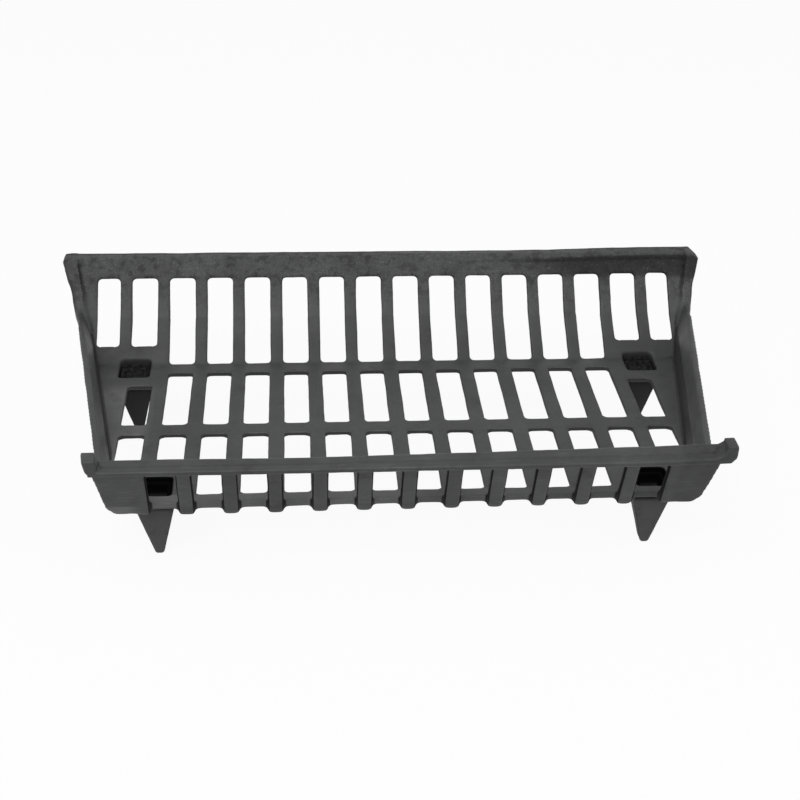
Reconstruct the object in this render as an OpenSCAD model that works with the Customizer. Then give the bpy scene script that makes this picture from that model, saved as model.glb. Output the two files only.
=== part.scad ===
// Log grate: one slotted iron casting standing on four hollow slip-in iron legs.
// +Z is up, -Y is the low front, and the origin is on the ground under the middle.

/* [Bars and slots] */
// Spacing of the bars, centre to centre
bar_pitch = 39.2; // [38.8:0.1:39.6]
// Width of a slot in the floor
floor_slot_w = 24; // [20:0.5:27]
// Width of a slot in the sloping back
back_slot_w = 26.2; // [22:0.2:28]
// Width of a window between two front bars
window_w = 24.8; // [20:0.4:27]
// Radius of the slot corners
slot_corner_r = 3.5; // [1.5:0.5:5]

/* [Floor] */
// Height of the floor's top face above the ground
floor_height = 65; // [55:1:80]
// Thickness of the floor and back plates
plate_t = 5; // [4.5:0.25:6]
// Depth of the flat floor from its front edge to the bend
floor_depth = 250; // [244:1:256]
// Width of the floor at its front edge
floor_front_w = 515; // [508:1:524]
// Width of the floor at the bend
floor_back_w = 605; // [599:1:612]
// Strip of floor in front of the first slots
sill_w = 14; // [12:0.5:16]
// Length of a full floor slot
floor_slot_l = 100.5; // [97:0.5:102]
// Cross strip between the two rows of floor slots
mid_strip_w = 18; // [15:0.5:20]
// Length of the shortened slots beside the front legs
short_slot_l = 47; // [40:1:52]
// Length of the shortened slots in front of the rear sockets
rear_short_slot_l = 75; // [70:1:78]

/* [Sloping back] */
// Slope of the back's lower part above level, degrees
back_angle = 35.3; // [32:0.1:38]
// Slope of the back above its knee, degrees
back_high_angle = 49.8; // [46:0.2:54]
// Length of the back's lower part, from the bend up to the knee
back_low_len = 56; // [53:0.5:60]
// Length of the back's upper part, from the knee up to the lip
back_high_len = 63.7; // [60:0.1:68]
// Length of a full slot in the back, measured over the knee
back_slot_l = 96.6; // [90:0.2:99]
// Width of the outermost slot at each end of the back
back_end_slot_w = 23; // [20:0.2:25]
// Length of the two shortened slots at each end of the back
back_short_slot_l = 75.7; // [70:0.1:78]
// Distance from the bend to the low end of the full slots
back_slot_start = 1.2; // [0.8:0.2:3]
// Width of the back at its top corners
back_top_w = 682; // [675:1:689]
// How far the top lip reaches back
back_lip_d = 12; // [9:0.5:16]
// Thickness of the top lip
back_lip_t = 5; // [4:0.5:6]
// How far the bead along the top stands off the sloping back
back_bead = 2.4; // [1.5:0.1:3]
// Height of that bead, up the slope
back_bead_h = 6; // [4:0.5:8]

/* [Front wall] */
// Lean of the front wall from upright, degrees
front_lean = 19; // [15:0.5:23]
// Height of the front rim's top above the floor
front_rise = 54; // [48:0.5:60]
// How far the bar ends hang below the floor's top face
bar_drop = 11.5; // [9:0.25:12.5]
// Thickness of the front bars and corner plates
front_bar_t = 8; // [7:0.25:9]
// How far the bars' lower ends stand in front of the floor's edge
bar_proud = 2; // [1:0.25:3]
// How far the rim reaches out in front of the bars
rim_over = 8; // [5:0.5:10]
// How far the rim reaches in behind the bars
rim_in = 2.5; // [1:0.5:4]
// Thickness of the rim
rim_t = 5; // [4:0.25:6]
// Height of the strip that joins the bars under the rim
under_rim_h = 5; // [3:0.5:7]
// Height of the cut lower corner of each corner plate
plate_corner_h = 10; // [6:0.5:13]
// Width of the cut lower corner of each corner plate
plate_corner_w = 7; // [4:0.5:9]
// Size of the cut lower corners of the bars
bar_corner = 3.5; // [2:0.25:4.5]
// How far the corner plates and the rim's ends stand out past the flanges
plate_out = 3; // [1:0.5:5]

/* [Side flanges] */
// Height of the flange above the floor
flange_h = 41; // [36:0.5:44]
// Height of the bend in the flange
flange_bend_h = 22.5; // [18:0.5:26]
// Outward set of the flange at its bend
flange_bend_x = 2.5; // [1:0.25:4]
// Outward set of the flange at its top
flange_top_x = 9; // [6:0.25:11]
// Thickness of the flange
flange_t = 6; // [5:0.25:7]
// Width of the side strip at the back's top corner
back_strip_w = 14; // [12.5:0.5:17]
// How far the side strips stand off the sloping back
strip_rise = 4.5; // [3:0.25:6]
// Rise of the upturned ears above the rim
ear_rise = 11; // [8:0.5:14]
// Reach of the ears past the rim's end
ear_reach = 8; // [6:0.5:10]
// Width of an ear at its top
ear_tip_w = 10; // [8:0.5:12]
// Size of the cut lower corner of each ear
ear_cut = 5; // [3:0.5:7]
// Size of the cut corners at both ends of the back's top
back_ear_cut = 8; // [5:0.5:11]

/* [Legs and sockets] */
// Width of the tang at the top of a leg
tang_w = 30; // [26:0.5:31]
// Depth of a leg from front to back at its top
tang_d = 29; // [25:0.5:30]
// Play between tang and socket on each side
socket_play = 0.5; // [0.3:0.1:0.8]
// Depth of the socket collar below the floor plate
collar_drop = 5; // [4:0.5:7]
// Wall thickness of the socket collar
collar_wall = 5; // [4:0.5:6]
// How far the tang stays below the floor's top face
tang_recess = 5; // [2:0.25:5.5]
// Width of a leg at its shoulder
leg_top_w = 38; // [36:0.5:41]
// Width of a leg at its foot
leg_foot_w = 8.5; // [7:0.5:14]
// Depth of a leg at its foot
leg_foot_d = 12; // [9:0.5:18]
// Wall thickness of the hollow leg
leg_wall = 4; // [3.5:0.25:4.5]
// Height of the solid foot below the leg's hollow
leg_solid_h = 16; // [12:1:22]
// How far each foot is set in towards the middle of the grate
foot_set_in = 2; // [0:0.5:4]
// Size of the cut corners on the foot
foot_chamfer = 1.6; // [0.8:0.2:2.4]
// Gap left between a leg's shoulders and its socket
shoulder_gap = 0.3; // [0.2:0.05:0.6]
// Distance between the two front legs
front_leg_span = 453; // [448:1:458]
// Distance between the two rear legs
rear_leg_span = 526; // [520:1:532]
// Distance from the floor's front edge to a front socket
front_socket_in = 13; // [12:0.5:16]
// Distance from the bend forward to the near edge of a rear socket
rear_socket_in = 24; // [22:0.5:28]

/* [Hidden] */
// Slots across the back, the floor and the front, and how many at each end are shortened
back_cols = 16;
floor_cols = 14;
window_cols = 12;
end_cols = 2;

// Share of the bars' thickness that their lower ends are cut by
bar_end_cut = 0.3;

// How far the back's side strips start inside the flange
back_strip_in = 2.5;

// How far cuts reach past the faces they open, and how far collars stay under the plate's face
cut_over = 6;
knee_over = 2;
skin = 1;

// The upper part of a back slot is this much wider, so that its two cuts share no face
knee_ease = 0.2;
half = 0.5;
corner_steps = 12;
curl_steps = 48;

// Outline, front to back
rim_out = bar_proud + (front_rise + bar_drop) * tan(front_lean) + rim_over;
back_run = back_low_len * cos(back_angle) + back_high_len * cos(back_high_angle);
total_depth = rim_out + floor_depth + back_run + back_lip_d;
front_y = -total_depth * half;
sill_y = front_y + rim_out;
bend_y = sill_y + floor_depth;
top_y = bend_y + back_run;
under_z = floor_height - plate_t;

// Knee of the back: on its face, and on its underside
knee_y = bend_y + back_low_len * cos(back_angle);
knee_z = floor_height + back_low_len * sin(back_angle);
knee_mid = (back_angle + back_high_angle) * half;
bend_under = [bend_y + plate_t * tan(back_angle * half), under_z];
top_z = knee_z + back_high_len * sin(back_high_angle);
bead_foot = back_high_len - back_bead_h - back_bead;
lip_z = top_z - back_lip_t;

// Rows of floor slots
front_row_y = sill_y + sill_w;
front_row_end = front_row_y + floor_slot_l;
rear_row_y = front_row_end + mid_strip_w;

// Edge of the floor in plan, and the top of the flanges
side_turn = atan((floor_back_w - floor_front_w) * half / floor_depth);
side_len = (total_depth - rim_out) / cos(side_turn);
flange_z = floor_height + flange_h;

// Sockets
socket_w = tang_w + 2 * socket_play;
socket_d = tang_d + 2 * socket_play;
shoulder_z = under_z - collar_drop;
front_socket_y = sill_y + front_socket_in;
rear_socket_y = bend_y - rear_socket_in;
skin_z = floor_height - skin;

// Front wall, measured up its slope
bar_low_z = floor_height - bar_drop;
front_slope_l = (front_rise + bar_drop) / cos(front_lean);
rim_z = floor_height + front_rise;
rim_half = floor_front_w * half + flange_t + flange_top_x + plate_out;

// Side strips of the back: their inner edge at the bend and at the top, their top end
strip_low_x = floor_back_w * half - back_strip_in;
strip_top_x = back_top_w * half - back_strip_w;
strip_top_z = top_z + strip_rise * cos(back_high_angle);

function col_x(i, n) = (i - (n - 1) * half) * bar_pitch;
function front_face_y(z) = sill_y - bar_proud - (z - bar_low_z) * tan(front_lean);
function back_face_y(z) = knee_y + (z - knee_z) / tan(back_high_angle);
function back_under_y(z) = back_face_y(z) + plate_t / sin(back_high_angle);

// One end of a slot, its cut corners on the X axis, running up to l with a square far end.
module slot_end(w, l) {
    r = slot_corner_r;
    translate([r - w * half, 0]) square([w - 2 * r, l]);
    translate([-w * half, r]) square([w, l - r]);
    for (x = [r - w * half, w * half - r])
        translate([x, r]) circle(r = r, $fn = corner_steps);
}

// A whole slot outline of length l, its low end on the X axis.
module slot_outline(w, l) {
    slot_end(w, l - slot_corner_r);
    translate([0, l]) rotate([0, 0, 180]) slot_end(w, l - slot_corner_r);
}

// Extrudes an outline through a plate whose face is at Z = 0, and past both its faces.
module cut_through(t) {
    translate([0, 0, -t - cut_over]) linear_extrude(height = t + 2 * cut_over) children();
}

// Extrudes a side outline (Y, Z) across the width w, about the middle plane.
module across(w) {
    translate([-w * half, 0, 0]) rotate([90, 0, 90]) linear_extrude(height = w) children();
}

// Puts children on the back's lower part: X across, Y up the slope, Z out of its face.
module on_low_back() {
    translate([0, bend_y, floor_height]) rotate([back_angle, 0, 0]) children();
}

// The same on the back's upper part, Y from the knee up.
module on_high_back() {
    translate([0, knee_y, knee_z]) rotate([back_high_angle, 0, 0]) children();
}

// Puts children on the outer face of the front wall: X across, Y up, Z outwards.
module on_front() {
    translate([0, front_face_y(bar_low_z), bar_low_z]) rotate([90 + front_lean, 0, 0])
        children();
}

// Draws children and their mirror image in the other half.
module both_sides() {
    children();
    mirror([1, 0, 0]) children();
}

// Points of the back's side outline: up its lower or upper part by s, and off its face by n.
function low_back(s, n) =
    [bend_y + s * cos(back_angle) - n * sin(back_angle),
     floor_height + s * sin(back_angle) + n * cos(back_angle)];
function high_back(s, n) =
    [knee_y + s * cos(back_high_angle) - n * sin(back_high_angle),
     knee_z + s * sin(back_high_angle) + n * cos(back_high_angle)];

// Point over the knee, off both faces by n.
function over_knee(n) =
    [knee_y, knee_z] + n / cos(knee_mid - back_angle) * [-sin(knee_mid), cos(knee_mid)];

// Side outline of floor, bend, kneed back, bead and top lip in one.
module plate_outline() {
    polygon([[sill_y, under_z], bend_under, over_knee(-plate_t), [back_under_y(lip_z), lip_z],
             [top_y + back_lip_d, lip_z], [top_y + back_lip_d, top_z],
             high_back(back_high_len, back_bead), high_back(bead_foot + back_bead, back_bead),
             high_back(bead_foot, 0), [knee_y, knee_z], [bend_y, floor_height],
             [sill_y, floor_height]]);
}

// Strips that stand off the back along both its sides.
module back_strips() {
    low = (flange_bend_h - skin) / sin(back_angle);
    high = back_high_len;
    w = back_top_w * half;
    intersection() {
        across(2 * back_top_w)
            polygon([low_back(low, strip_rise), over_knee(strip_rise), high_back(high, strip_rise),
                     high_back(high, -skin), over_knee(-skin), low_back(low, -skin)]);
        both_sides() linear_extrude(height = strip_top_z + skin)
            polygon([[strip_low_x, bend_y], [strip_top_x, top_y],
                     [strip_top_x, top_y + back_lip_d], [w, top_y + back_lip_d], [w, bend_y]]);
    }
}

// Plan of the grille without the front wall.
module plan_prism() {
    fw = floor_front_w * half + flange_t;
    bw = floor_back_w * half + flange_t;
    meet_y = back_face_y(flange_z);
    mw = bw + (meet_y - bend_y) * tan(side_turn) + flange_top_x;
    tw = back_top_w * half;
    linear_extrude(height = top_z + strip_rise)
        polygon([[-fw, sill_y], [fw, sill_y], [bw, bend_y], [mw, meet_y], [tw, top_y],
                 [tw, top_y + back_lip_d], [-tw, top_y + back_lip_d], [-tw, top_y],
                 [-mw, meet_y], [-bw, bend_y]]);
}

// Two rows of slots through the floor, the ones beside the sockets shortened.
module floor_slots() {
    for (i = [0:floor_cols - 1]) {
        near_end = i < end_cols || i >= floor_cols - end_cols;
        at_side = i == 0 || i == floor_cols - 1;
        fl = near_end ? short_slot_l : floor_slot_l;
        rl = at_side ? rear_short_slot_l : floor_slot_l;
        translate([col_x(i, floor_cols), front_row_end - fl, floor_height])
            cut_through(plate_t) slot_outline(floor_slot_w, fl);
        translate([col_x(i, floor_cols), rear_row_y, floor_height])
            cut_through(plate_t) slot_outline(floor_slot_w, rl);
    }
}

// One row of slots through the back, each over the knee. The two at each end are shorter
// and the outermost ones narrower, on their outer side.
module back_slots() {
    for (i = [0:back_cols - 1]) {
        near_end = i < end_cols || i >= back_cols - end_cols;
        high = back_slot_start + back_slot_l;
        low = high - (near_end ? back_short_slot_l : back_slot_l);
        side = i == 0 ? 1 : (i == back_cols - 1 ? -1 : 0);
        w = side == 0 ? back_slot_w : back_end_slot_w;
        x = col_x(i, back_cols) + side * (back_slot_w - w) * half;
        on_low_back() translate([x, low, 0]) cut_through(plate_t)
            slot_end(w, back_low_len - low + knee_over);
        on_high_back() translate([x, high - back_low_len, 0]) cut_through(plate_t)
            rotate([0, 0, 180]) slot_end(w + knee_ease, high - back_low_len + knee_over);
    }
}

// Outline of one window of the front wall, flared below where it cuts the bars' corners.
module window_outline() {
    l = front_slope_l - (rim_t + under_rim_h) / cos(front_lean);
    w = window_w * half;
    c = bar_corner;
    translate([0, -l]) slot_outline(window_w, 2 * l);
    polygon([[-w - 2 * c, -c], [w + 2 * c, -c], [w, c], [-w, c]]);
}

// Leaning front wall: short bars with cut-off lower ends and a corner plate at each side.
module front_wall() {
    l = front_slope_l;
    t = front_bar_t;
    c = t * bar_end_cut;
    lw = rim_half - flange_top_x - bar_proud;
    tw = rim_half;
    cw = lw + (tw - lw) * plate_corner_h / l;
    difference() {
        on_front() intersection() {
            across(2 * tw + t)
                polygon([[c, 0], [l, 0], [l, -t], [c, -t], [0, c - t], [0, -c]]);
            cut_through(t)
                polygon([[plate_corner_w - lw, 0], [lw - plate_corner_w, 0],
                         [cw, plate_corner_h], [tw, l], [-tw, l], [-cw, plate_corner_h]]);
        }
        for (i = [0:window_cols - 1])
            on_front() translate([col_x(i, window_cols), 0, 0]) cut_through(t)
                window_outline();
    }
}

// Level rim rolled out from the top of the front wall.
module front_rim() {
    in_y = front_face_y(rim_z) + front_bar_t / cos(front_lean) + rim_in;
    translate([-rim_half, front_y, rim_z - rim_t])
        cube([2 * rim_half, in_y - front_y, rim_t]);
}

// Upturned ears at both ends of the rim, curling up from its top face.
module front_ears() {
    w = rim_over + front_bar_t;
    low = rim_z - rim_t;
    high = rim_z + ear_rise;
    tip = rim_half + ear_reach;
    curl = tip - ear_tip_w - ear_rise;
    both_sides() translate([0, front_y + w, 0]) rotate([90, 0, 0])
        linear_extrude(height = w) difference() {
            polygon([[curl, low], [tip - ear_cut, low], [tip, low + ear_cut], [tip, high],
                     [curl, high]]);
            translate([curl, high]) circle(r = ear_rise, $fn = curl_steps);
        }
}

// Raised ends of the top lip, level with the side strips, with their outer corners cut.
module back_ears() {
    x = back_top_w * half;
    both_sides() translate([0, top_y + back_lip_d, 0]) rotate([90, 0, 0])
        linear_extrude(height = back_lip_d + strip_rise * sin(back_high_angle))
            polygon([[strip_top_x, lip_z], [x, lip_z], [x, top_z - strip_rise],
                     [x - back_ear_cut, strip_top_z], [strip_top_x, strip_top_z]]);
}

// Flared side flanges, trimmed inside the front wall and inside the back plate.
module side_flanges() {
    mid = front_bar_t * half;
    in_back_y = (back_face_y(flange_z) + back_under_y(flange_z)) * half;
    bend_z = floor_height + flange_bend_h;
    intersection() {
        both_sides() translate([floor_front_w * half, sill_y, 0]) rotate([0, 0, -side_turn])
            rotate([90, 0, 0]) translate([0, 0, -side_len])
                linear_extrude(height = side_len + rim_out)
                    polygon([[0, under_z], [flange_t, under_z], [flange_t, floor_height],
                             [flange_bend_x + flange_t, bend_z],
                             [flange_top_x + flange_t, flange_z], [flange_top_x, flange_z],
                             [flange_bend_x, bend_z], [0, floor_height]]);
        across(2 * back_top_w)
            polygon([[front_face_y(under_z) + mid, under_z],
                     [front_face_y(flange_z) + mid, flange_z],
                     [in_back_y, flange_z], over_knee(-plate_t * half), bend_under]);
    }
}

// Places children at the near edge of each socket, mirrored pairs.
module at_sockets() {
    both_sides() translate([front_leg_span * half, front_socket_y, 0]) children();
    both_sides() translate([rear_leg_span * half, rear_socket_y, 0]) children();
}

// Collars that deepen the four leg sockets below the plate.
module socket_collars() {
    w = socket_w + 2 * collar_wall;
    d = socket_d + 2 * collar_wall;
    intersection() {
        at_sockets() translate([-w * half, -collar_wall, shoulder_z])
            cube([w, d, floor_height - shoulder_z + d]);
        across(2 * back_top_w)
            polygon([[sill_y + skin, shoulder_z], [bend_y + d, shoulder_z],
                     [bend_y + d, skin_z + d * tan(back_angle)], [bend_y, skin_z],
                     [sill_y + skin, skin_z]]);
    }
}

// Square through-holes that take the leg tangs.
module sockets() {
    at_sockets() translate([-socket_w * half, 0, shoulder_z - cut_over])
        cube([socket_w, socket_d, floor_height]);
}

// The whole grille: one iron casting.
module grate_casting() {
    color([0.24, 0.24, 0.24]) difference() {
        union() {
            difference() {
                intersection() {
                    union() {
                        across(2 * back_top_w) plate_outline();
                        back_strips();
                    }
                    plan_prism();
                }
                floor_slots();
                back_slots();
            }
            side_flanges();
            front_wall();
            front_rim();
            front_ears();
            back_ears();
            socket_collars();
        }
        sockets();
    }
}

// One leg: a hollow wedge tapered both ways, with shoulders and a square tang that is open
// on top. Its front face is on Y = 0 and its foot on Z = 0, set in along X by foot_x.
module leg(foot_x) {
    sz = shoulder_z - shoulder_gap;
    tz = floor_height - tang_recess;
    c = foot_chamfer;
    w = leg_top_w * half;
    t = tang_w * half;
    f = leg_foot_w * half;
    difference() {
        intersection() {
            rotate([90, 0, 0]) translate([0, 0, -2 * tang_d]) linear_extrude(height = 4 * tang_d)
                polygon([[foot_x - f + c, 0], [foot_x + f - c, 0], [foot_x + f, c], [w, sz],
                         [t, sz], [t, tz], [-t, tz], [-t, sz], [-w, sz], [foot_x - f, c]]);
            across(2 * leg_top_w)
                polygon([[0, 0], [leg_foot_d, 0], [tang_d, sz], [tang_d, tz], [0, tz]]);
        }
        leg_hollow(foot_x, sz);
    }
}

// The hollow inside a leg, down to the solid foot.
module leg_hollow(foot_x, sz) {
    h = leg_solid_h;
    low_w = (leg_foot_w + (leg_top_w - leg_foot_w) * h / sz) * half - leg_wall;
    low_d = leg_foot_d + (tang_d - leg_foot_d) * h / sz - leg_wall;
    low_x = foot_x * (1 - h / sz);
    t = tang_w * half - leg_wall;
    intersection() {
        rotate([90, 0, 0]) translate([0, 0, -2 * tang_d]) linear_extrude(height = 4 * tang_d)
            polygon([[low_x - low_w, h], [low_x + low_w, h], [t, sz], [t, floor_height],
                     [-t, floor_height], [-t, sz]]);
        across(2 * leg_top_w)
            polygon([[leg_wall, h], [low_d, h], [tang_d - leg_wall, sz],
                     [tang_d - leg_wall, floor_height], [leg_wall, floor_height]]);
    }
}

// One front leg in its socket; side is -1 on the left and 1 on the right.
module front_leg(side) {
    color([0.2, 0.2, 0.2])
        translate([side * front_leg_span * half, front_socket_y + socket_play, 0])
            leg(-side * foot_set_in);
}

// One rear leg in its socket; side is -1 on the left and 1 on the right.
module rear_leg(side) {
    color([0.16, 0.16, 0.16])
        translate([side * rear_leg_span * half, rear_socket_y + socket_play, 0])
            leg(-side * foot_set_in);
}

module front_left_leg() {
    front_leg(-1);
}

module front_right_leg() {
    front_leg(1);
}

module rear_left_leg() {
    rear_leg(-1);
}

module rear_right_leg() {
    rear_leg(1);
}

grate_casting();
front_left_leg();
front_right_leg();
rear_left_leg();
rear_right_leg();
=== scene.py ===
import math

import bmesh
import bpy
from mathutils import Matrix, Vector


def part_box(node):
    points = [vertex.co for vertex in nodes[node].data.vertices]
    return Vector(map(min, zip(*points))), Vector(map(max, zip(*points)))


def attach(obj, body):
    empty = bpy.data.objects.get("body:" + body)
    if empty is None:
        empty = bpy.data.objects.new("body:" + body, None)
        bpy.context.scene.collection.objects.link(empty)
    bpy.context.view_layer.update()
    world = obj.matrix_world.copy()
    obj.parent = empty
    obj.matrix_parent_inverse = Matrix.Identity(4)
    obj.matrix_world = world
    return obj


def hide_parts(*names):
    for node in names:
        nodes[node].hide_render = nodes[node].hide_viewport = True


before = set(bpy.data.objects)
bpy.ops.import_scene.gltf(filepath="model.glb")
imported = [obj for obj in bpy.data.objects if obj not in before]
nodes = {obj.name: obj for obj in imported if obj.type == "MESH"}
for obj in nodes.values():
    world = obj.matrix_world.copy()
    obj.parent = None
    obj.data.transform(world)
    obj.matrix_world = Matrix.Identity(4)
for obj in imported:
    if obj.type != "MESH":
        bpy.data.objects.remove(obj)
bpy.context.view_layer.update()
scene = bpy.context.scene

# The camera.
# It stands in front of the grate, a little left of its middle and above it, turned slightly
# right and tipped down. Its place was worked out from the spacing of the slots in the photo.
CAMERA_AT = (-0.0974, -1.1867, 0.7778)
CAMERA_TURN = 0.08518
CAMERA_DOWN = 0.53444
CAMERA_ROLL = 0.02717
LENS_MM = 63.1
SENSOR_MM = 36

camera_data = bpy.data.cameras.new("camera")
camera_data.lens = LENS_MM
camera_data.sensor_width = SENSOR_MM
camera = bpy.data.objects.new("camera", camera_data)
camera.matrix_world = (
    Matrix.Translation(CAMERA_AT)
    @ Matrix.Rotation(-CAMERA_TURN, 4, "Z")
    @ Matrix.Rotation(math.pi / 2 - CAMERA_DOWN, 4, "X")
    @ Matrix.Rotation(CAMERA_ROLL, 4, "Z")
)
scene.collection.objects.link(camera)
scene.camera = camera
scene.view_settings.view_transform = "Standard"


# The studio.
# A pale floor that keeps the grate's soft shadow, and a plain white surround. One broad lamp
# stands above and in front, a weaker one to the right.
WHITE = (1, 1, 1, 1)
FLOOR_SIZE = 8.0
FLOOR_COLOUR = (0.80, 0.80, 0.80, 1)
FLOOR_GLOW = 0.93
SURROUND = 0.45
LAMPS_AIM = Vector((0, 0, 0.07))
LAMPS = (  # name, place, width and watts
    ("key_lamp", (-0.9, -1.5, 2.4), 2.0, 48),
    ("side_lamp", (1.9, -0.9, 1.5), 1.6, 14),
)


class Socket:
    """A node's output that can be used in sums: each sum adds a Math node to its tree."""

    def __init__(self, tree, output):
        self.tree, self.output = tree, output

    def math(self, operation, *values):
        settings = {"operation": operation}
        return self.tree.add("ShaderNodeMath", settings, dict(enumerate(values)))

    def __add__(self, other):
        return self.math("ADD", self, other)

    def __sub__(self, other):
        return self.math("SUBTRACT", self, other)

    def __rsub__(self, other):
        return self.math("SUBTRACT", other, self)

    def __mul__(self, other):
        return self.math("MULTIPLY", self, other)

    def __pow__(self, other):
        return self.math("POWER", self, other)

    def __abs__(self):
        return self.math("ABSOLUTE", self)

    __radd__ = __add__
    __rmul__ = __mul__

    def most(self, other):
        return self.math("MAXIMUM", self, other)

    def least(self, other):
        return self.math("MINIMUM", self, other)

    def step(self, low, high, kind="SMOOTHSTEP"):
        """0 before low, 1 past high and a rise between them. High may be the lesser."""
        settings = {"interpolation_type": kind}
        values = {"Value": self, "From Min": low, "From Max": high}
        return self.tree.add("ShaderNodeMapRange", settings, values)

    def part(self, name):
        """Another output of the same node."""
        return Socket(self.tree, self.output.node.outputs[name])


class Nodes:
    """A node tree. Every node in it is made by its add method."""

    def __init__(self, tree):
        self.tree = tree
        tree.nodes.clear()

    def add(self, kind, settings=None, values=None, out=0):
        node = self.tree.nodes.new(kind)
        for name, value in (settings or {}).items():
            setattr(node, name, value)
        for name, value in (values or {}).items():
            if isinstance(value, Socket):
                self.tree.links.new(value.output, node.inputs[name])
            else:
                node.inputs[name].default_value = value
        return Socket(self, node.outputs[out]) if node.outputs else None

    def vector(self, operation, *vectors, out=0):
        settings = {"operation": operation}
        return self.add("ShaderNodeVectorMath", settings, dict(enumerate(vectors)), out)

    def scaled(self, vector, amount):
        values = {0: vector, "Scale": amount}
        return self.add("ShaderNodeVectorMath", {"operation": "SCALE"}, values)

    def xyz(self, vector):
        """A vector's three parts."""
        parts = self.add("ShaderNodeSeparateXYZ", None, {0: vector})
        return [parts.part(axis) for axis in "XYZ"]

    def mix(self, amount, low, high):
        """Blends two colours by an amount from 0 to 1."""
        settings = {"data_type": "RGBA", "clamp_factor": True}
        return self.add("ShaderNodeMix", settings, {0: amount, 6: low, 7: high}, out=2)


def seen_rays(tree):
    """1 for rays that show a thing to the camera, straight or in a gloss, and 0 for light."""
    path = tree.add("ShaderNodeLightPath")
    seen = path.part("Is Camera Ray").most(path.part("Is Glossy Ray"))
    return seen.most(path.part("Is Transmission Ray"))


def new_material(name):
    material = bpy.data.materials.new(name)
    material.use_nodes = True
    return material, Nodes(material.node_tree)


world = bpy.data.worlds.new("studio")
world.use_nodes = True
scene.world = world
tree = Nodes(world.node_tree)
seen = seen_rays(tree)
soft = tree.add("ShaderNodeBackground", None, {"Color": WHITE, "Strength": SURROUND})
plain = tree.add("ShaderNodeBackground", None, {"Color": WHITE, "Strength": 1})
both = tree.add("ShaderNodeMixShader", None, {0: seen, 1: soft, 2: plain})
tree.add("ShaderNodeOutputWorld", None, {"Surface": both})

floor_material, tree = new_material("studio_floor")
seen = seen_rays(tree)
matt = tree.add("ShaderNodeBsdfDiffuse", None, {"Color": FLOOR_COLOUR})
glow = tree.add("ShaderNodeEmission", None, {"Color": WHITE, "Strength": 1})
both = tree.add("ShaderNodeMixShader", None, {0: seen * FLOOR_GLOW, 1: matt, 2: glow})
tree.add("ShaderNodeOutputMaterial", None, {"Surface": both})

mesh = bpy.data.meshes.new("floor")
half = FLOOR_SIZE / 2
corners = [(-half, -half, 0), (half, -half, 0), (half, half, 0), (-half, half, 0)]
mesh.from_pydata(corners, [], [(0, 1, 2, 3)])
mesh.materials.append(floor_material)
floor = bpy.data.objects.new("floor", mesh)
scene.collection.objects.link(floor)

for name, place, width, watts in LAMPS:
    lamp = bpy.data.lights.new(name, "AREA")
    lamp.size = width
    lamp.energy = watts
    holder = bpy.data.objects.new(name, lamp)
    turn = (Vector(place) - LAMPS_AIM).to_track_quat("Z", "Y").to_matrix().to_4x4()
    holder.matrix_world = Matrix.Translation(place) @ turn
    scene.collection.objects.link(holder)


# The grate casting.
# One piece of grey iron, cast in sand, so every arris is a little round, every inner corner
# filleted, and the skin is lumpy and gritty. It has one thin coat of satin black stove paint.
GRATE_VOXEL = 0.00125
GRATE_TRIANGLES = 190000
WELD = 1e-6
BOX_MARGIN = 0.00002
MM_IN_A_METRE = 1000
NOISE_MIDDLE = 0.5

# Colours: the coat, the coat rubbed thin, the coat under soot and painted shade, the black of
# painted shade, and the pockets' painted shade and ash.
PAINT = (0.0335, 0.0343, 0.0350, 1)
PAINT_WORN = (0.105, 0.106, 0.106, 1)
PAINT_DARK = (0.015, 0.015, 0.015, 1)
PAINT_ROUGH = 0.5
PAINT_IOR = 1.45
PAINT_SEED = 1.0
SHADE_BLACK = (0.004, 0.004, 0.004, 1)
POCKET_SHADE = (0.0040, 0.0040, 0.0040, 1)
ASH = (0.036, 0.036, 0.036, 1)

# Sizes of the pattern. A flange's foot is FLANGE_FOOT from the middle, and further out by
# FLANGE_SPREAD for each metre back. A wing is where a flange runs into the back, and the slope
# is the back's upper face.
SOCKET_HALF_W = 0.0160
SOCKET_HALF_D = 0.0155
FLOOR_TOP = 0.065
FLANGE_FOOT = 0.2860
FLANGE_SPREAD = 0.18
FLANGE_BEND = 0.0865
WING_CENTRE = (0.327, 0.142, 0.103)
WING_RADIUS = 0.034
SLOPE_FOOT = (0, 0.13757, 0.09736)
SLOPE_NORMAL = (0, -0.76380, 0.64546)
RAIL_TOP = 0.14601
RAIL_LIFT = 0.0028

# Places on the casting, each as where its soft edge begins and where it is full. X_ counts
# from the middle to either side, LR_ from left to right, Y_ from front to back, Z_ upwards,
# OUT_ outwards from a flange's foot and SLOPE_ outwards from the slope.
Y_BACK_SLOPE = (0.10, 0.11)
Z_UNDER_FLOOR_TOP = (0.0655, 0.0650)
Z_OVER_FLOOR_FOOT = (0.0585, 0.0600)
Y_BEHIND_FRONT = (-0.152, -0.148)
X_SIDE_STRIP = (0.31, 0.32)
SLOPE_STRIP_WALL = (0.0046, 0.0042)
OUT_FLOOR = (-0.004, -0.006)
X_WING = (0.306, 0.318)
X_WING_BLEND = (0.3055, 0.3110)
Z_WING = (0.120, 0.108)
X_BEND_INNER = (0.240, 0.246)
X_BEND_OUTER = (0.302, 0.298)
Y_BEND_FRONT = (0.083, 0.086)
Y_BEND_REAR = (0.096, 0.093)
MOUTH_EDGE = (0.005, 0.003)
Z_MOUTH_FOOT = (0.0610, 0.0625)
Z_MOUTH_TOP = (0.075, 0.070)
X_FRONT_BARS = (0.250, 0.240)
Y_FRONT_BARS = (-0.1510, -0.1535)
Z_FRONT_BARS = (0.1090, 0.1050)
X_TIPS = (0.245, 0.225)
Y_TIPS = (-0.1490, -0.1515)
Z_TIPS = (0.0640, 0.0605)
LR_TIPS = (0.40, -0.20)
Y_RIM = (-0.160, -0.165)
Y_RIM_REAR = (-0.1907, -0.1717)
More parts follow.
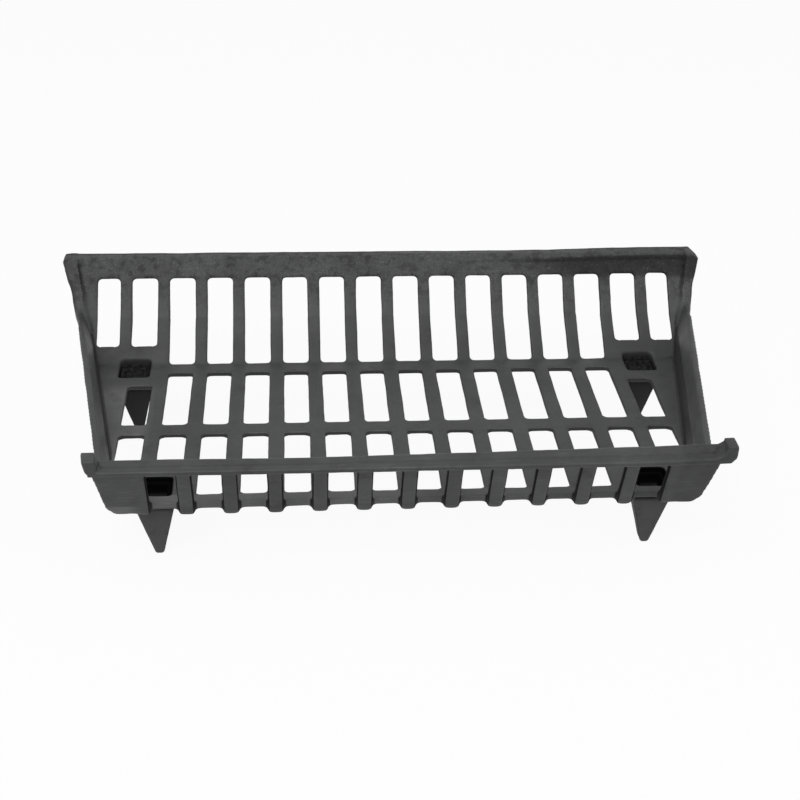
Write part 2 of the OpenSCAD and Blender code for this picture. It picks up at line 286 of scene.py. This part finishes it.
Z_RIM = (0.110, 0.117)
Z_OVER_RIM = (0.121, 0.129)
LR_RIM_RISE = (-0.09, 0.18)
LR_RIM_RISE_LEFT = (-0.09, -0.24)
LR_RIM_END = (0.20, 0.28)
LR_EAR = (-0.250, -0.262)
LR_EAR_INNER = (-0.2835, -0.2755)
LR_EAR_OUTER = (-0.266, -0.2835)
Z_EAR_INNER = (0.1195, 0.1240)
Z_EAR_OUTER = (0.131, 0.115)
LR_BEAD = (0.17, 0.05)
LR_BEAD_END = (-0.3215, -0.3190)
Z_BEAD = (0.120, 0.125)
LR_RAIL_LIFT = (0.14, 0.30)
LR_MIDDLE = (-0.001, 0.001)

# How far the casting strays from its pattern there, in metres.
RIM_RISE = 0.0048
RIM_RISE_LEFT = 0.0015
RIM_RISE_END = 0.0015
EAR_LEAN = 0.0035
EAR_NUDGE = 0.0011
RAIL_RAISE = 0.0009
RAIL_DEPTH = 0.030
RAIL_CREST = 0.0001
RAIL_RIGHT_END = 0.331
RAIL_RIGHT_SLOPE = 0.9
RAIL_LEFT_END = 0.3385
RAIL_LEFT_SLOPE = 2
WING_CORE = 0.3
WING_BLEND = 0.9
ROUNDING_STEPS = 2
LOSS_STEPS = 5

SKIN_INPUTS = (
    ("Rounding steps", "NodeSocketInt", 3),
    ("Blend steps", "NodeSocketInt", 30),
    ("Soft steps", "NodeSocketInt", 0),
    ("Wing centre", "NodeSocketVector", (0, 0, -1)),
    ("Wing radius", "NodeSocketFloat", 0.04),
    ("Wing push", "NodeSocketFloat", 0.0),
    ("Tip drop", "NodeSocketFloat", 0.0),
    ("Rim warp", "NodeSocketFloat", 0.0),
    ("Slope foot", "NodeSocketVector", (0, 0, 9)),
    ("Slope normal", "NodeSocketVector", (0, 0, 0)),
    ("Rail top", "NodeSocketFloat", 1.0),
    ("Rail lift", "NodeSocketFloat", 0.0),
    ("Box low", "NodeSocketVector", (0, 0, 0)),
    ("Box high", "NodeSocketVector", (0, 0, 0)),
    ("Wave size", "NodeSocketFloat", 0.035),
    ("Wave depth", "NodeSocketFloat", 0.0006),
    ("Lump size", "NodeSocketFloat", 0.009),
    ("Lump depth", "NodeSocketFloat", 0.0002),
    ("Seed", "NodeSocketFloat", 3.0),
    ("Material", "NodeSocketMaterial", None),
)
SKIN_NOISES = (("Wave size", "Wave depth", 1), ("Lump size", "Lump depth", 2))


def socket_centre(node):
    """Middle of a leg socket in plan, from the leg that fills it."""
    low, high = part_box(node)
    return ((low.x + high.x) / 2, (low.y + high.y) / 2)


SOCKETS = [socket_centre(n) for n in ("front_right_leg", "rear_right_leg")]


def out_from_flange(fold, along):
    """How far a point stands outside the flange's foot."""
    return fold - along * FLANGE_SPREAD - FLANGE_FOOT


def over_socket(fold, along, x, y, edge):
    """1 over the leg socket at x, y. Edge is how far outside it that begins and is full."""
    inside = abs(fold - x).step(*(SOCKET_HALF_W + e for e in edge))
    return inside * abs(along - y).step(*(SOCKET_HALF_D + e for e in edge))


class Pattern:
    """A pattern's mesh in a Geometry Nodes tree. Each step marks its points or moves them."""

    def __init__(self, tree):
        self.tree = tree
        self.given = tree.add("NodeGroupInput").part
        self.mesh = self.given("Geometry")
        self.place = tree.add("GeometryNodeInputPosition")
        self.normal = tree.add("GeometryNodeInputNormal")
        self.across, self.along, self.up = tree.xyz(self.place)
        self.fold = abs(self.across)

    def mark(self, name, value):
        """Keeps a number with each point, for the paint."""
        settings = {"data_type": "FLOAT", "domain": "POINT"}
        values = {"Geometry": self.mesh, "Name": name, "Value": value}
        self.mesh = self.tree.add("GeometryNodeStoreNamedAttribute", settings, values)

    def put(self, **where):
        """Puts the points at a Position, or shifts them by an Offset."""
        values = {"Geometry": self.mesh, **where}
        self.mesh = self.tree.add("GeometryNodeSetPosition", None, values)

    def shift(self, **axes):
        self.put(Offset=self.tree.add("ShaderNodeCombineXYZ", None, axes))

    def blurred(self, steps, weight=1):
        """Where the points go when each is drawn towards its neighbours."""
        values = {"Value": self.place, "Iterations": steps, "Weight": weight}
        settings = {"data_type": "FLOAT_VECTOR"}
        return self.tree.add("GeometryNodeBlurAttribute", settings, values)

    def over_slope(self):
        """Height over the back's upper face."""
        climb = self.tree.vector("SUBTRACT", self.place, self.given("Slope foot"))
        return self.tree.vector("DOT_PRODUCT", climb, self.given("Slope normal"), out=1)

    def mark_arrises(self):
        """Marks how many mm each arris would lose to rounding. Inner corners are negative."""
        lost = self.tree.vector("SUBTRACT", self.place, self.blurred(LOSS_STEPS))
        loss = self.tree.vector("DOT_PRODUCT", lost, self.normal, out=1)
        self.mark("arris", loss * MM_IN_A_METRE)

    def mark_walls(self):
        """Marks the slots' walls, the bars' sides and the side strips' inner walls, for
        painted shade.
        """
        aside, _, level = (abs(n) for n in self.tree.xyz(self.normal))
        wall = (1 - level) * self.up.step(*Z_UNDER_FLOOR_TOP)
        wall = wall * self.up.step(*Z_OVER_FLOOR_FOOT) * self.along.step(*Y_BEHIND_FRONT)
        strip = self.over_slope().step(*SLOPE_STRIP_WALL) * self.along.step(*Y_BACK_SLOPE)
        strip = strip * self.fold.step(*X_SIDE_STRIP)
        near = out_from_flange(self.fold, self.along).step(*OUT_FLOOR)
        self.mark("wall", wall.most(aside) * near.most(strip))

    def blend_wings(self):
        """Bellies the flanges out where they run into the back, and blends them with it."""
        folded = self.tree.vector("ABSOLUTE", self.place)
        away = self.tree.vector("DISTANCE", folded, self.given("Wing centre"), out=1)
        radius = self.given("Wing radius")
        wing = away.step(radius, radius * WING_CORE)
        beyond = self.fold.step(*X_WING) * self.up.step(*Z_WING)
        side = self.across.math("SIGN", self.across)
        self.shift(X=side * wing * beyond * self.given("Wing push"))
        weight = wing * self.fold.step(*X_WING_BLEND) * WING_BLEND
        self.put(Position=self.blurred(self.given("Blend steps"), weight))

    def soften(self):
        """Rounds the sockets' mouths, the bend beside them and the front bars further."""
        soft = self.fold.step(*X_BEND_INNER) * self.along.step(*Y_BEND_FRONT)
        soft = soft * self.along.step(*Y_BEND_REAR) * self.fold.step(*X_BEND_OUTER)
        for x, y in SOCKETS:
            soft = soft.most(over_socket(self.fold, self.along, x, y, MOUTH_EDGE))
        soft = soft * self.up.step(*Z_MOUTH_FOOT) * self.up.step(*Z_MOUTH_TOP)
        bars = self.along.step(*Y_FRONT_BARS) * self.up.step(*Z_FRONT_BARS)
        bars = bars * self.fold.step(*X_FRONT_BARS)
        self.put(Position=self.blurred(self.given("Soft steps"), soft.most(bars)))

    def drop_tips(self):
        """Lets the floor's front edge and the bars' tips hang lower, most at the left."""
        low = self.up.step(*Z_TIPS) * self.along.step(*Y_TIPS) * self.fold.step(*X_TIPS)
        longer = low * self.across.step(*LR_TIPS, "LINEAR") * self.given("Tip drop")
        self.shift(Z=longer * -1)

    def warp_rim(self):
        """Warps the rim, which was rolled out by eye: its rear edge rises to both ends."""
        in_rim = self.along.step(*Y_RIM) * self.up.step(*Z_RIM)
        rear = self.along.step(*Y_RIM_REAR, "LINEAR")
        rise = self.across.step(*LR_RIM_RISE, "LINEAR") * RIM_RISE
        rise = rise + self.across.step(*LR_RIM_RISE_LEFT) * RIM_RISE_LEFT
        rise = rise * rear * (1 - self.up.step(*Z_OVER_RIM))
        rise = rise + self.across.step(*LR_RIM_END) * RIM_RISE_END
        self.shift(Z=rise * in_rim * self.given("Rim warp"))
        # The left ear is a broad tab that leans in towards its lower front corner.
        inner = self.up.step(*Z_EAR_INNER) * self.across.step(*LR_EAR_INNER, "LINEAR")
        outer = EAR_NUDGE + (1 - rear) * EAR_LEAN
        outer = outer + self.up.step(*Z_EAR_OUTER, "LINEAR") * EAR_LEAN
        outer = outer * self.across.step(*LR_EAR_OUTER, "LINEAR")
        slid = (inner * EAR_LEAN + outer) * in_rim * self.across.step(*LR_EAR)
        self.shift(X=slid * self.given("Rim warp"))

    def fade_bead(self):
        """Lets the bead along the rail fade out to the left."""
        bead = self.over_slope().most(0) * self.up.step(*Z_BEAD)
        bead = bead * self.along.step(*Y_BACK_SLOPE)
        fade = self.across.step(*LR_BEAD) * self.across.step(*LR_BEAD_END)
        self.put(Offset=self.tree.scaled(self.given("Slope normal"), bead * fade * -1))

    def lift_rail(self):
        """Lifts the rail, most at its right end, and slopes off both its ends."""
        top, lift = self.given("Rail top"), self.given("Rail lift")
        raised = self.across.step(*LR_RAIL_LIFT) * lift + RAIL_RAISE
        raised = raised * self.up.step(top - RAIL_DEPTH, top)
        past = (self.across - RAIL_RIGHT_END).most(0)
        right_end = top + lift + RAIL_CREST - past * RAIL_RIGHT_SLOPE
        past = (self.across * -1 - RAIL_LEFT_END).most(0)
        left_end = top + RAIL_RAISE - past * RAIL_LEFT_SLOPE
        limit = left_end + (right_end - left_end) * self.across.step(*LR_MIDDLE)
        values = {"X": self.across, "Y": self.along, "Z": (self.up + raised).least(limit)}
        self.put(Position=self.tree.add("ShaderNodeCombineXYZ", None, values))

    def roughen(self):
        """Gives the points the skin of the mould: long waves, then lumps."""
        for size, depth, detail in SKIN_NOISES:
            settings = {"noise_dimensions": "4D"}
            values = {"W": self.given("Seed"), "Scale": self.given(size) ** -1}
            values["Detail"] = detail
            noise = self.tree.add("ShaderNodeTexNoise", settings, values)
            amount = (noise - NOISE_MIDDLE) * self.given(depth) * 2
            self.put(Offset=self.tree.scaled(self.normal, amount))

    def hold_in_box(self):
        """Keeps every point inside the pattern's own box."""
        held = self.tree.vector("MAXIMUM", self.place, self.given("Box low"))
        self.put(Position=self.tree.vector("MINIMUM", held, self.given("Box high")))

    def finish(self):
        """Smooths the shading and hands on plain faces with their material."""
        mesh = self.tree.add("GeometryNodeSetShadeSmooth", None, {"Geometry": self.mesh})
        mesh = self.tree.add("GeometryNodeRealizeInstances", None, {"Geometry": mesh})
        values = {"Geometry": mesh, "Material": self.given("Material")}
        mesh = self.tree.add("GeometryNodeSetMaterial", None, values)
        self.tree.add("NodeGroupOutput", None, {"Geometry": mesh})


def sand_cast_tree(name):
    """Geometry Nodes that round a pattern's edges and give it the skin of a sand mould."""
    group = bpy.data.node_groups.new(name, "GeometryNodeTree")
    face = group.interface
    face.new_socket("Geometry", in_out="INPUT", socket_type="NodeSocketGeometry")
    for label, kind, value in SKIN_INPUTS:
        socket = face.new_socket(label, in_out="INPUT", socket_type=kind)
        if value is not None:
            socket.default_value = value
    face.new_socket("Geometry", in_out="OUTPUT", socket_type="NodeSocketGeometry")
    pattern = Pattern(Nodes(group))
    pattern.mark_arrises()
    pattern.mark_walls()
    pattern.put(Position=pattern.blurred(pattern.given("Rounding steps")))
    pattern.blend_wings()
    pattern.soften()
    pattern.drop_tips()
    pattern.warp_rim()
    pattern.fade_bead()
    pattern.lift_rail()
    pattern.roughen()
    pattern.hold_in_box()
    pattern.finish()
    return group


def set_inputs(modifier, wanted):
    """Sets a Geometry Nodes modifier's inputs by their sockets' identifiers."""
    for item in modifier.node_group.interface.items_tree:
        if item.in_out == "INPUT" and item.name in wanted:
            modifier[item.identifier] = wanted[item.name]


def evaluated(thing):
    """An object as its modifiers leave it."""
    return thing.evaluated_get(bpy.context.evaluated_depsgraph_get())


def cast(name, node, body, slot, voxel, triangles, wanted):
    """Casts a copy of a CAD node in sand, as a plain mesh that stands for that node."""
    mesh = nodes[node].data.copy()
    mesh.materials.clear()
    form = bmesh.new()
    form.from_mesh(mesh)
    bmesh.ops.remove_doubles(form, verts=form.verts, dist=WELD)
    form.to_mesh(mesh)
    form.free()
    pattern = bpy.data.objects.new(name + "_pattern", mesh)
    scene.collection.objects.link(pattern)
    sand = pattern.modifiers.new("sand", "REMESH")
    sand.mode = "VOXEL"
    sand.voxel_size = voxel
    skin = pattern.modifiers.new("skin", "NODES")
    skin.node_group = sand_cast
    low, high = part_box(node)
    margin = Vector((BOX_MARGIN, BOX_MARGIN, BOX_MARGIN))
    box = {"Box low": tuple(low + margin), "Box high": tuple(high - margin)}
    set_inputs(skin, {**wanted, **box})
    full = sum(len(p.vertices) - 2 for p in evaluated(pattern).data.polygons)
    thin = pattern.modifiers.new("thin", "DECIMATE")
    thin.ratio = min(1, triangles / full)
    plain = bpy.data.meshes.new_from_object(evaluated(pattern))
    plain.name = name
    piece = bpy.data.objects.new(name, plain)
    scene.collection.objects.link(piece)
    bpy.data.objects.remove(pattern)
    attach(piece, body)
    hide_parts(node)


# The noises of the paint: grains in a metre, detail, roughness and a seed of their own.
GRIT = (900, 3, 0.6, 0.0)
LUMPS = (120, 3, 0.6, 1.0)
PATCHES = (13, 3, 0.6, 2.0)
FLECKS = (620, 2, 0.7, 3.0)
STREAKS = (330, 2, 0.6, 4.0)
CLOTS = (290, 2, 0.6, 5.0)
STAINS = (34, 4, 0.7, 6.0)
STREAK_STRETCH = (0.12, 1, 1)

# What each mark takes of its noise: the value where it begins and the one where it is full.
SPARKLE_FLECKS = (0.50, 0.58)
SPECKLE_FLECKS = (0.50, 0.75)
RAIL_PALE_FLECKS = (0.60, 0.66)
WORN_PATCHES = (0.40, 0.65)
RAIL_DARK_PATCHES = (0.62, 0.42)
SOOTY_PATCHES = (0.60, 0.35)
FRONT_STREAKS = (0.52, 0.70)
RAIL_STREAKS = (0.55, 0.72)
PALE_STAINS = (0.50, 0.66)
DARK_STAINS = (0.47, 0.33)
FLANGE_LUMPS = (0.6, 0.4)
GRIMY_LUMPS = (0.52, 0.36)
ASHY_CLOTS = (0.38, 0.66)

# More places, as above. ARRIS_ is in the mm that rounding takes away.
Y_BACK = (0.085, 0.115)
Z_ROUGH = (0.095, 0.130)
ROUGH_WANDER = 0.05
Z_RAIL = (0.124, 0.131)
Y_FRONT = (-0.1435, -0.1470)
LR_RIGHT_PLATE = (0.234, 0.242)
OUT_FLANGE = (-0.0020, 0.0)
Z_FLANGE_BEND = (FLANGE_BEND + 0.0012, FLANGE_BEND - 0.0012)
Z_OVER_FLOOR = (FLOOR_TOP - 0.002, FLOOR_TOP)
Y_FLANGE = (-0.146, -0.143)
Z_LOW_EDGE = (0.0670, 0.0655)
Z_SILL = (0.0590, 0.0600)
Y_SILL = (-0.1602, -0.1594)
LR_SILL = (0.24, -0.18)
LR_CORNER = (-0.235, -0.250)
Y_CORNER = (0.06, 0.03)
LR_FRONT_PALE = (0.30, 0.10)
ARRIS_PALE = (0.15, 0.60)
ARRIS_CREASE = (-0.06, -0.34)
ARRIS_LINE = (0.12, 0.45)
ARRIS_UNDER_BEAD = (-0.04, -0.20)
OUT_CREASE = (-0.012, -0.006)
Y_FRONT_CREASE = (-0.140, -0.148)
WING_CREASE = (0.016, 0.030)
LR_UNDER_BEAD = (0.12, 0.20)
LR_RAIL_DARK = (0.13, 0.22)
Z_RAIL_DARK = (0.1455, 0.1425)
Y_FAR_EDGE = (0.1850, 0.1865)
Z_FAR_EDGE = (0.1440, 0.1450)
Y_TURN = (0.080, 0.098)
Y_TURN_END = (0.125, 0.105)
Y_BENEATH = (0, 0.03)
Z_BENEATH = (FLOOR_TOP - 0.0075, FLOOR_TOP - 0.0100)
Z_BAR_LINES = (0.1125, 0.1095)
WALL = (0.35, 0.85)
WALL_EDGE = (0.15, 0.45)
POCKET_EDGE = (0.0008, 0)
Z_POCKET_TOP = (FLOOR_TOP - 0.0002, FLOOR_TOP - 0.0022)
Z_POCKET_FOOT = (0.045, 0.052)
Z_TANG_RING = (0.0580, 0.0590)
Z_TANG_RING_TOP = (0.0612, 0.0604)
Y_ASHY = (-0.10, 0)

# How strong each mark is. A pair is its strength on the plain iron, and what the rough upper
# back adds to it.
SPARKLE = (0.12, 1.6)
SPECKLE = (0.08, 0.8)
GRIT_HEIGHT = (0.25, 0.6)
LUMP_HEIGHT = (0.4, 0.8)
# Wear and painted light: the sill and the corner are painted paler as if lit, and the edges
# are partly a painted highlight.
WEAR_AND_LIGHT = {
    "edges": 0.28,
    "front": 0.06,
    "front_streaks": 0.22,
    "rail_streaks": 0.25,
    "sill": 0.95,
    "corner": 0.75,
    "stains": 0.10,
}
# Dirt and painted shade: walls, flange foot and beneath are painted shade, the rail's right
# part is soot and painted shade, stains, patches and grime are dirt, and the right plate, far
# edge and turn are darker.
DIRT_AND_SHADE = {
    "stains": 0.35,
    "patches": 0.35,
    "right_plate": 0.2,
    "flange_foot": 0.9,
    "flange_lumps": 0.4,
    "rail_soot_and_shade": 1.1,
    "rail_dark_patches": 0.45,
    "rail_pale_flecks": 0.9,
    "far_edge": 0.6,
    "grime": 0.7,
    "turn": 0.30,
    "walls": 0.9,
    "beneath": 2,
}
# Painted shade: how dark the creases and the shadow under the bead are, how far the shade
# black covers each place, and how much of the lightless black stands in for shade in each.
CREASED = {"wing": 0.4, "away": 0.6, "under_bead": 0.7}
SHADE_DARKENING = {"creases": 0.75, "rail_soot_and_shade": 0.3, "walls": 0.6, "lines": 0.5}
LIGHTLESS = {
    "walls": 0.4,
    "creases": 0.3,
    "lines": 0.35,
    "rail_soot_and_shade": 0.2,
    "right_plate": 0.1,
    "flange_foot": 0.12,
}
POCKET_ASH = {"plain": 0.45, "clots": 1.1, "open": 1.1, "ring": 0.6}
ROUGHER = {"grit": 0.25, "soot": 0.12, "back": 0.1}
BUMP = {"Strength": 0.6, "Distance": 0.0008}


def cast_iron(name, paint, worn, dark, roughness, seed):
    """Thin satin paint on gritty cast iron: rubbed and painted highlight on the arrises,
    painted light and shade, dirt, and black painted shade in the sockets.
    """
    material, tree = new_material(name)
    place = tree.add("ShaderNodeTexCoord").part("Object")
    across, along, up = tree.xyz(place)

    def noise(scale, detail, rough, shift, stretch=(1, 1, 1)):
        values = {"Vector": tree.vector("MULTIPLY", place, stretch), "W": seed + shift}
        values.update({"Scale": scale, "Detail": detail, "Roughness": rough})
        return tree.add("ShaderNodeTexNoise", {"noise_dimensions": "4D"}, values)

    def marked(name):
        return tree.add("ShaderNodeAttribute", {"attribute_name": name}).part("Fac")

    grit, lumps, clots, stains = noise(*GRIT), noise(*LUMPS), noise(*CLOTS), noise(*STAINS)
    patches, flecks = noise(*PATCHES), noise(*FLECKS)
    streaks = noise(*STREAKS, STREAK_STRETCH)
    arris, walls = marked("arris"), marked("wall")

    # Where things are: the back, its rail, the front wall, and the flanges' steep lower half.
    back = along.step(*Y_BACK)
    rough_zone = back * (up + (patches - NOISE_MIDDLE) * ROUGH_WANDER).step(*Z_ROUGH)
    rail = back * up.step(*Z_RAIL)
    front = along.step(*Y_FRONT)
    right_plate = front * across.step(*LR_RIGHT_PLATE)
    fold = abs(across)
    outside = out_from_flange(fold, along)
    flange_foot = outside.step(*OUT_FLANGE) * up.step(*Z_FLANGE_BEND)
    flange_foot = flange_foot * up.step(*Z_OVER_FLOOR) * along.step(*Y_FLANGE)
    wall = walls.step(*WALL)

    def strength(pair):
        return pair[0] + rough_zone * pair[1]

    # Paler places: rubbed arrises with a painted highlight, grains, the front wall, and
    # painted light on the sill and a floor corner.
    # Arrises are paler: rubbed paint in patches and flecks, and a painted highlight along the
    # rounded edges.
    sparkle = flecks.step(*SPARKLE_FLECKS) * strength(SPARKLE)
    edge = patches.step(*WORN_PATCHES) * WEAR_AND_LIGHT["edges"] + sparkle
    edge = arris.step(*ARRIS_PALE) * edge
    speckle = flecks.step(*SPECKLE_FLECKS) * strength(SPECKLE)
    # The front wall is a little paler towards the left; the streaks on it and on the rail are
    # rubbed paint.
    rubbed = across.step(*LR_FRONT_PALE) * WEAR_AND_LIGHT["front"]
    rubbed = front * (rubbed + streaks.step(*FRONT_STREAKS) * WEAR_AND_LIGHT["front_streaks"])
    rubbed = rubbed + rail * streaks.step(*RAIL_STREAKS) * WEAR_AND_LIGHT["rail_streaks"]
    # Painted light: the sill is paler, as if the front light reached it under the rim.
    sill = front * up.step(*Z_LOW_EDGE) * along.step(*Y_SILL)
    sill = sill * up.step(*Z_SILL) * across.step(*LR_SILL) * WEAR_AND_LIGHT["sill"]
    # Painted light: the floor's left corner is paler, lifting the flange's shade off it.
    corner = across.step(*LR_CORNER) * along.step(*Y_CORNER) * up.step(*Z_LOW_EDGE)
    wear_and_light = edge.most(speckle) + rubbed + sill + corner * WEAR_AND_LIGHT["corner"]
    wear_and_light = wear_and_light + stains.step(*PALE_STAINS) * WEAR_AND_LIGHT["stains"]

    # Painted shade: creases are dark by the flanges and the front wall, and a painted shadow
    # lies under the bead at the right.
    crease = outside.step(*OUT_CREASE).most(along.step(*Y_FRONT_CREASE))
    away = tree.vector("DISTANCE", tree.vector("ABSOLUTE", place), WING_CENTRE, out=1)
    clear = away.step(*WING_CREASE) * CREASED["away"] + CREASED["wing"]
    crease = crease * arris.step(*ARRIS_CREASE) * clear
    under_bead = rail * across.step(*LR_UNDER_BEAD) * arris.step(*ARRIS_UNDER_BEAD)
    crease = crease + under_bead * CREASED["under_bead"]

    # Soot, dirt and painted shade: the rail's dark right part, grime, the turn of the back,
    # slot walls.
    # The rail's right part below the bead is darker and mottled: soot, and painted shade under
    # the bead.
    rail_soot_and_shade = DIRT_AND_SHADE["rail_soot_and_shade"] + patches.step(*RAIL_DARK_PATCHES) * DIRT_AND_SHADE["rail_dark_patches"]
    rail_soot_and_shade = rail * across.step(*LR_RAIL_DARK) * rail_soot_and_shade
    rail_soot_and_shade = rail_soot_and_shade * (1 - flecks.step(*RAIL_PALE_FLECKS) * DIRT_AND_SHADE["rail_pale_flecks"])
    rail_soot_and_shade = rail_soot_and_shade * (up - across.step(*LR_RAIL_LIFT) * RAIL_LIFT).step(*Z_RAIL_DARK)
    dirt_and_shade = stains.step(*DARK_STAINS) * DIRT_AND_SHADE["stains"]
    # The right front plate is darker.
    dirt_and_shade = dirt_and_shade + right_plate * DIRT_AND_SHADE["right_plate"]
    dirt_and_shade = dirt_and_shade + patches.step(*SOOTY_PATCHES) * DIRT_AND_SHADE["patches"]
    # Painted shade on the flanges' steep lower half, made lumpy.
    lumpy = DIRT_AND_SHADE["flange_foot"] + lumps.step(*FLANGE_LUMPS) * DIRT_AND_SHADE["flange_lumps"]
    dirt_and_shade = dirt_and_shade + flange_foot * lumpy + rail_soot_and_shade
    # The back's far top edge is darker, grime lies on the rough upper back, and the turn of
    # the back is darker.
    dirt_and_shade = dirt_and_shade + along.step(*Y_FAR_EDGE) * up.step(*Z_FAR_EDGE) * DIRT_AND_SHADE["far_edge"]
    dirt_and_shade = dirt_and_shade + rough_zone * lumps.step(*GRIMY_LUMPS) * DIRT_AND_SHADE["grime"]
    dirt_and_shade = dirt_and_shade + along.step(*Y_TURN) * along.step(*Y_TURN_END) * DIRT_AND_SHADE["turn"]
    # Painted shade on the slot walls, the bars' sides and the side strips' inner walls.
    dirt_and_shade = dirt_and_shade + wall * DIRT_AND_SHADE["walls"]
    # Painted shade beneath the floor behind the front: the rear legs and the underside are
    # darkened.
    dirt_and_shade = dirt_and_shade + along.step(*Y_BENEATH) * up.step(*Z_BENEATH) * DIRT_AND_SHADE["beneath"]
    # Painted shade: dark lines along the front bars' edges.
    lined = arris.step(*ARRIS_LINE) * front * walls.step(*WALL_EDGE) * up.step(*Z_BAR_LINES)

    # Painted shade: the pockets over the legs are black in front and ashy behind.
    pocket = sum(over_socket(fold, along, x, y, POCKET_EDGE) for x, y in SOCKETS)
    pocket = pocket * up.step(*Z_POCKET_TOP) * up.step(*Z_POCKET_FOOT)
    ring = up.step(*Z_TANG_RING) * up.step(*Z_TANG_RING_TOP)
    ashy = clots.step(*ASHY_CLOTS) * POCKET_ASH["clots"] + POCKET_ASH["plain"]
    ashy = along.step(*Y_ASHY) * ashy * (POCKET_ASH["open"] - ring * POCKET_ASH["ring"])

    colour = tree.mix(wear_and_light, paint, worn)
    colour = tree.mix(dirt_and_shade, colour, dark)
    # Painted shade: the shade black darkens creases, front slot walls and bar lines, and with
    # soot the rail's right part.
    shade_darkening = crease * SHADE_DARKENING["creases"] + rail_soot_and_shade * SHADE_DARKENING["rail_soot_and_shade"]
    shade_darkening = shade_darkening + wall * front * SHADE_DARKENING["walls"] + lined * SHADE_DARKENING["lines"]
    colour = tree.mix(shade_darkening, colour, SHADE_BLACK)
    rough = roughness + (grit - NOISE_MIDDLE) * ROUGHER["grit"] + dirt_and_shade * ROUGHER["soot"]
    rough = rough + rough_zone * ROUGHER["back"]
    height = grit * strength(GRIT_HEIGHT) + lumps * strength(LUMP_HEIGHT)
    bump = tree.add("ShaderNodeBump", None, {"Height": height, **BUMP})
    values = {"Base Color": colour, "Roughness": rough, "Normal": bump, "IOR": PAINT_IOR}
    iron = tree.add("ShaderNodeBsdfPrincipled", None, values)
    # A lightless black without gloss stands in for shade: it fills the pockets and darkens the
    # slot walls, creases, bar lines, flange feet, the rail's right part and the right plate.
    deep = tree.mix(ashy, POCKET_SHADE, ASH)
    values = {"Base Color": deep, "Roughness": 1, "Specular IOR Level": 0}
    black = tree.add("ShaderNodeBsdfPrincipled", None, values)
    lightless = pocket + wall * front * LIGHTLESS["walls"] + crease * LIGHTLESS["creases"]
    lightless = lightless + lined * LIGHTLESS["lines"] + rail_soot_and_shade * LIGHTLESS["rail_soot_and_shade"]
    lightless = lightless + right_plate * LIGHTLESS["right_plate"]
    lightless = lightless + flange_foot * LIGHTLESS["flange_foot"]
    surface = tree.add("ShaderNodeMixShader", None, {0: lightless, 1: iron, 2: black})
    tree.add("ShaderNodeOutputMaterial", None, {"Surface": surface})
    return material


sand_cast = sand_cast_tree("sand_cast")
grate_iron = cast_iron("grate_iron", PAINT, PAINT_WORN, PAINT_DARK, PAINT_ROUGH, PAINT_SEED)
grate_sizes = {
    "Rounding steps": ROUNDING_STEPS,
    "Blend steps": 40,
    "Soft steps": 6,
    "Wing centre": WING_CENTRE,
    "Wing radius": WING_RADIUS,
    "Wing push": 0.0026,
    "Tip drop": 0.0026,
    "Rim warp": 1.0,
    "Slope foot": SLOPE_FOOT,
    "Slope normal": SLOPE_NORMAL,
    "Rail top": RAIL_TOP,
    "Rail lift": RAIL_LIFT,
    "Material": grate_iron,
}
detail = (GRATE_VOXEL, GRATE_TRIANGLES)
cast("grate_skin", "grate_casting", "grate", "grate_iron", *detail, grate_sizes)


# The four legs.
# Hollow iron wedges, cast the same way, with a thinner coat painted paler as light on their
# fronts. Each slips up into its square socket; its tang's open top is painted black as shade.
LEGS = ("front_left_leg", "front_right_leg", "rear_left_leg", "rear_right_leg")
LEG_VOXEL = 0.0009
LEG_TRIANGLES = 20000
LEG_WAVES = 0.0002
LEG_FIRST_SKIN = 11.0
LEG_PAINT = (0.047, 0.047, 0.048, 1)
LEG_WORN = (0.105, 0.105, 0.105, 1)
LEG_DARK = (0.014, 0.014, 0.014, 1)
LEG_ROUGH = 0.6
LEG_SEED = 7.0
leg_iron = cast_iron("leg_iron", LEG_PAINT, LEG_WORN, LEG_DARK, LEG_ROUGH, LEG_SEED)
detail = (LEG_VOXEL, LEG_TRIANGLES)
for i, name in enumerate(LEGS):
    leg_sizes = {"Rounding steps": ROUNDING_STEPS, "Wave depth": LEG_WAVES}
    leg_sizes.update({"Seed": LEG_FIRST_SKIN + i, "Material": leg_iron})
    cast(name + "_skin", name, name, "leg_iron", *detail, leg_sizes)
